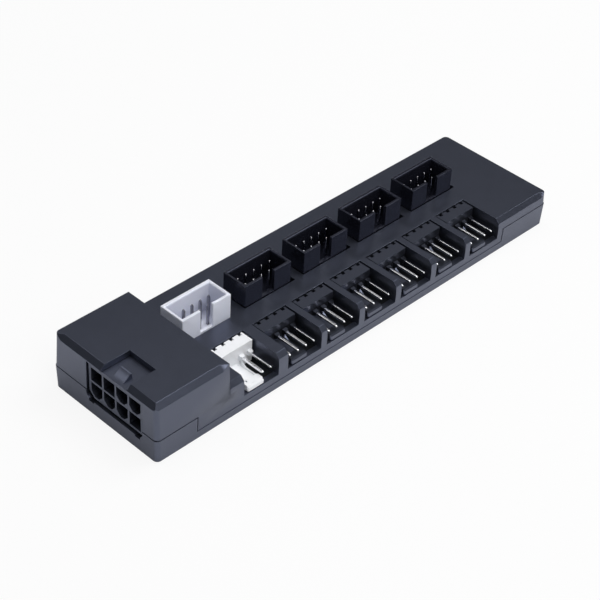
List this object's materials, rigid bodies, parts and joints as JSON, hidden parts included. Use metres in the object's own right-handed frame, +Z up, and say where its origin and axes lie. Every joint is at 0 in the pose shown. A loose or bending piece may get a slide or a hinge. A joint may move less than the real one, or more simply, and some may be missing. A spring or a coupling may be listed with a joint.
{
  "type": "pc fan controller hub",
  "caption": "Slim black hub that feeds and controls case fans: power inlet in a raised end block, box headers on the deck, right-angle fan headers in open bays along one side.",
  "frame": {"origin": "middle of the footprint, on the surface that the hub stands on", "axes": "+X along the hub away from the power inlet, -Y out of the open bays, +Z up"},
  "size_m": [0.1312, 0.0344, 0.0161],
  "materials": {
    "case_plastic": "fine moulded texture, satin black",
    "inlet_plastic": "moulded nylon, satin black",
    "header_plastic": "moulded, smooth black",
    "white_plastic": "moulded, smooth white",
    "plated_pins": "bright tin plating",
    "board_laminate": "black solder mask",
    "capacitor_can": "plain can",
    "chip_package": "moulded epoxy",
    "resistor_body": "glazed ceramic"
  },
  "bodies": {
    "root": {"inlet_cover": "case_plastic", "deck_cover": "case_plastic", "bay_rail": "case_plastic", "bottom_shell": "case_plastic", "circuit_board": "board_laminate", "power_inlet_housing": "inlet_plastic", "power_inlet_contacts": "plated_pins", "input_header_shell": "white_plastic", "input_header_pins": "plated_pins", "signal_header_body": "white_plastic", "signal_header_pins": "plated_pins", "input_capacitors": "capacitor_can", "controller_chip": "chip_package", "driver_chips": "chip_package", "chip_resistors": "resistor_body", "box_header_shell_1": "header_plastic", "box_header_pins_1": "plated_pins", "box_header_shell_2": "header_plastic", "box_header_pins_2": "plated_pins", "box_header_shell_3": "header_plastic", "box_header_pins_3": "plated_pins", "box_header_shell_4": "header_plastic", "box_header_pins_4": "plated_pins", "fan_header_body_1": "header_plastic", "fan_header_pins_1": "plated_pins", "fan_header_body_2": "header_plastic", "fan_header_pins_2": "plated_pins", "fan_header_body_3": "header_plastic", "fan_header_pins_3": "plated_pins", "fan_header_body_4": "header_plastic", "fan_header_pins_4": "plated_pins", "fan_header_body_5": "header_plastic", "fan_header_pins_5": "plated_pins", "fan_header_body_6": "header_plastic", "fan_header_pins_6": "plated_pins"}
  },
  "joints": []
}
